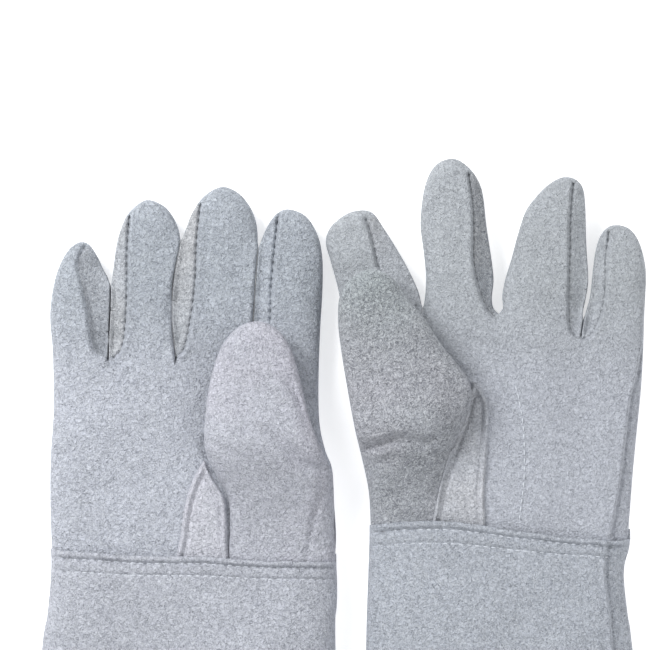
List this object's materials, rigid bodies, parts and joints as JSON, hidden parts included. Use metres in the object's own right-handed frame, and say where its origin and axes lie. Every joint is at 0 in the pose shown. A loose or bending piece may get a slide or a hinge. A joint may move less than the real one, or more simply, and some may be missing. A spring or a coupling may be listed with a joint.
{
  "type": "welding gauntlet gloves",
  "caption": "Pair of grey split-leather welding gauntlets lying palm up, with long flared cuffs, sewn fingers and wing thumbs.",
  "frame": {"origin": "centre of the pair at the surface it lies on", "axes": "+Y from the cuffs to the fingertips, +Z out of the palms, +X from the right-hand glove to the left-hand glove"},
  "size_m": [0.332, 0.3706, 0.046],
  "materials": {
    "palm_leather": "napped suede, pale blue-grey",
    "cuff_leather": "napped suede, pale blue-grey",
    "finger_leather": "napped suede, pale blue-grey",
    "fourchette_leather": "thin napped suede, darker grey",
    "thumb_leather": "coarse napped suede, mottled grey",
    "patch_leather": "napped suede, slightly warmer grey",
    "cotton_lining": "brushed cotton, off-white"
  },
  "bodies": {
    "right_cuff": {"right_cuff_front": "cuff_leather", "right_cuff_back": "cuff_leather"},
    "right_hand": {"right_palm_panel": "palm_leather", "right_back_panel": "palm_leather", "right_fourchette_little_ring": "fourchette_leather", "right_fourchette_ring_middle": "fourchette_leather", "right_fourchette_middle_index": "fourchette_leather", "right_thumb_base": "thumb_leather", "right_thumb_patch": "patch_leather", "right_palm_lining": "cotton_lining", "right_back_lining": "cotton_lining", "right_collar_front": "cuff_leather", "right_collar_back": "cuff_leather"},
    "right_little": {"right_little_tip_front": "finger_leather", "right_little_tip_back": "finger_leather", "right_little_tip_fourchette_b": "fourchette_leather"},
    "right_ring": {"right_ring_tip_front": "finger_leather", "right_ring_tip_back": "finger_leather", "right_ring_tip_fourchette_a": "fourchette_leather", "right_ring_tip_fourchette_b": "fourchette_leather"},
    "right_middle": {"right_middle_tip_front": "finger_leather", "right_middle_tip_back": "finger_leather", "right_middle_tip_fourchette_a": "fourchette_leather", "right_middle_tip_fourchette_b": "fourchette_leather"},
    "right_index": {"right_index_tip_front": "finger_leather", "right_index_tip_back": "finger_leather", "right_index_tip_fourchette_a": "fourchette_leather"},
    "right_thumb": {"right_thumb_front": "thumb_leather", "right_thumb_back": "thumb_leather"},
    "left_cuff": {"left_cuff_front": "cuff_leather", "left_cuff_back": "cuff_leather"},
    "left_hand": {"left_palm_panel": "palm_leather", "left_back_panel": "palm_leather", "left_fourchette_index_middle": "fourchette_leather", "left_fourchette_middle_ring": "fourchette_leather", "left_fourchette_ring_little": "fourchette_leather", "left_thumb_base": "thumb_leather", "left_thumb_patch": "patch_leather", "left_palm_lining": "cotton_lining", "left_back_lining": "cotton_lining", "left_collar_front": "cuff_leather", "left_collar_back": "cuff_leather"},
    "left_index": {"left_index_tip_front": "finger_leather", "left_index_tip_back": "finger_leather", "left_index_tip_fourchette_b": "fourchette_leather"},
    "left_middle": {"left_middle_tip_front": "finger_leather", "left_middle_tip_back": "finger_leather", "left_middle_tip_fourchette_a": "fourchette_leather", "left_middle_tip_fourchette_b": "fourchette_leather"},
    "left_ring": {"left_ring_tip_front": "finger_leather", "left_ring_tip_back": "finger_leather", "left_ring_tip_fourchette_a": "fourchette_leather", "left_ring_tip_fourchette_b": "fourchette_leather"},
    "left_little": {"left_little_tip_front": "finger_leather", "left_little_tip_back": "finger_leather", "left_little_tip_fourchette_a": "fourchette_leather"},
    "left_thumb": {"left_thumb_front": "thumb_leather", "left_thumb_back": "thumb_leather"}
  },
  "joints": [
    {"name": "right_wrist", "type": "hinge", "parent": "right_cuff", "child": "right_hand", "pos_m": [-0.074, -0.0452, 0.0263], "axis": [1, 0, 0], "range_deg": [0, 60]},
    {"name": "right_little_bend", "type": "hinge", "parent": "right_hand", "child": "right_little", "pos_m": [-0.133, 0.1082, 0.0233], "axis": [1, 0, 0], "range_deg": [0, 90]},
    {"name": "right_ring_bend", "type": "hinge", "parent": "right_hand", "child": "right_ring", "pos_m": [-0.09955, 0.1185, 0.0233], "axis": [0.9999, -0.0122, 0], "range_deg": [0, 90]},
    {"name": "right_middle_bend", "type": "hinge", "parent": "right_hand", "child": "right_middle", "pos_m": [-0.06117, 0.12316, 0.0233], "axis": [0.9988, -0.0482, 0], "range_deg": [0, 90]},
    {"name": "right_index_bend", "type": "hinge", "parent": "right_hand", "child": "right_index", "pos_m": [-0.02529, 0.11979, 0.0233], "axis": [0.9997, -0.0229, 0], "range_deg": [0, 90]},
    {"name": "right_thumb_lift", "type": "hinge", "parent": "right_hand", "child": "right_thumb", "pos_m": [-0.0365, 0.0313, 0.0463], "axis": [0.9988, -0.0483, 0], "range_deg": [0, 75]},
    {"name": "left_wrist", "type": "hinge", "parent": "left_cuff", "child": "left_hand", "pos_m": [0.084, -0.0322, 0.0263], "axis": [1, 0, 0], "range_deg": [0, 60]},
    {"name": "left_index_bend", "type": "hinge", "parent": "left_hand", "child": "left_index", "pos_m": [0.01809, 0.13078, 0.0233], "axis": [0.9577, 0.2879, 0], "range_deg": [0, 90]},
    {"name": "left_middle_bend", "type": "hinge", "parent": "left_hand", "child": "left_middle", "pos_m": [0.0645, 0.14165, 0.0233], "axis": [0.9986, 0.0528, 0], "range_deg": [0, 90]},
    {"name": "left_ring_bend", "type": "hinge", "parent": "left_hand", "child": "left_ring", "pos_m": [0.11305, 0.133, 0.0233], "axis": [0.9833, -0.182, 0], "range_deg": [0, 90]},
    {"name": "left_little_bend", "type": "hinge", "parent": "left_hand", "child": "left_little", "pos_m": [0.14583, 0.11831, 0.0233], "axis": [0.9966, -0.0828, 0], "range_deg": [0, 90]},
    {"name": "left_thumb_lift", "type": "hinge", "parent": "left_hand", "child": "left_thumb", "pos_m": [0.04265, 0.0463, 0.0463], "axis": [0.9662, 0.2579, 0], "range_deg": [0, 75]},
    {"name": "gloves_apart", "type": "slide", "parent": "right_cuff", "child": "left_cuff", "axis": [1, 0, 0], "range_m": [0, 0.15]}
  ]
}
